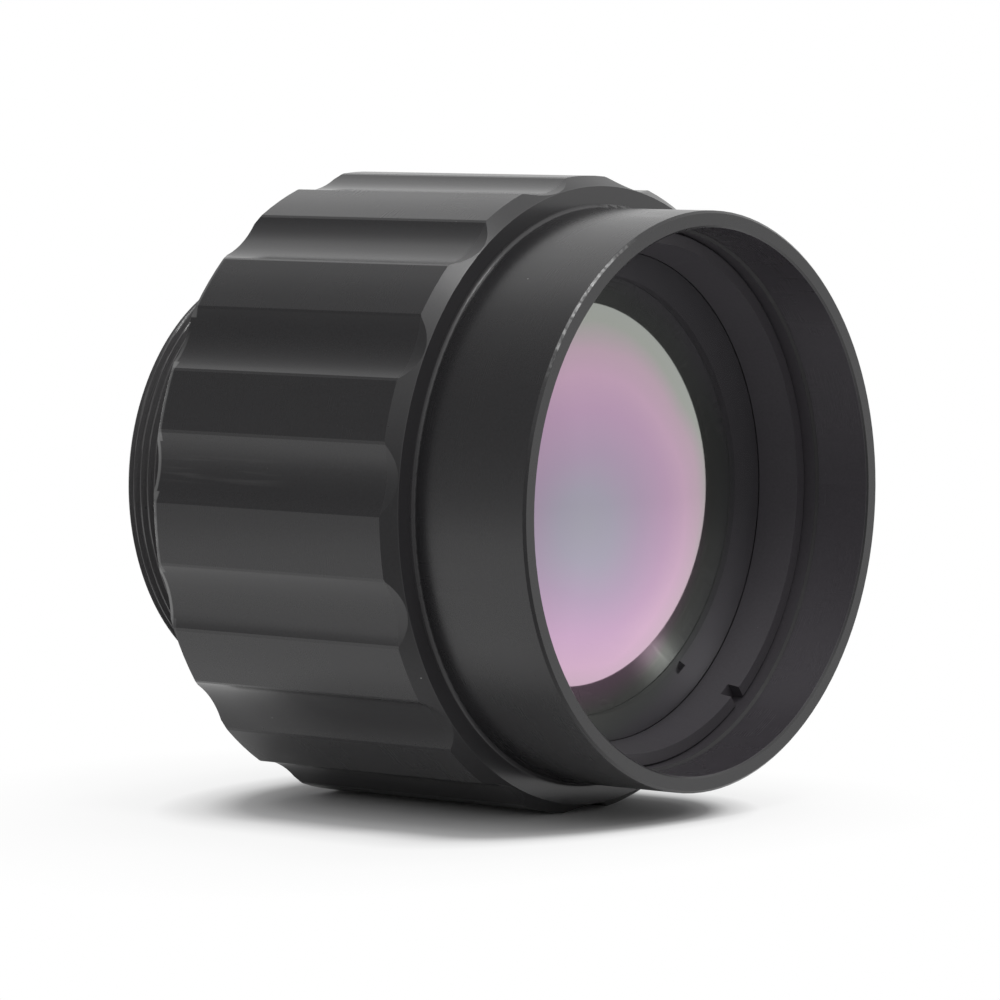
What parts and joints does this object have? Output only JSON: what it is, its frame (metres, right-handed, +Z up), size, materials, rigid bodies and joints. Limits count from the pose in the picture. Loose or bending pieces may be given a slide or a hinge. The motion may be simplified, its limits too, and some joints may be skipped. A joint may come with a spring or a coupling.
{
  "type": "thermal imaging lens",
  "caption": "Short fixed-focus infrared lens with a fluted black barrel, a deep-set coated germanium front element inside a plain hood, and a threaded rear mount.",
  "frame": {"origin": "on the optical axis, in the flange seat at the back of the grip, where the mounting thread begins", "axes": "+X along the optical axis towards the hood, -X out of the mounting thread, +Z up with the lens lying on its side"},
  "size_m": [0.0454, 0.05, 0.0498],
  "materials": {
    "black_anodise": "satin black anodised, turned and milled",
    "matt_black": "matt black anodised",
    "coated_germanium": "polished, antireflection coated, opaque to the eye",
    "germanium": "polished, antireflection coated, opaque to the eye",
    "seal_rubber": "matt moulded rubber",
    "shim_steel": "rolled sheet"
  },
  "bodies": {
    "root": {"barrel": "black_anodise", "mount_sleeve": "black_anodise", "front_ring": "black_anodise", "front_lens": "coated_germanium", "front_seal": "seal_rubber", "light_baffle": "matt_black", "aperture_stop": "matt_black", "middle_ring": "black_anodise", "middle_lens": "germanium", "focus_shim": "shim_steel", "rear_lens": "germanium", "rear_seal": "seal_rubber", "rear_ring": "black_anodise"}
  },
  "joints": []
}
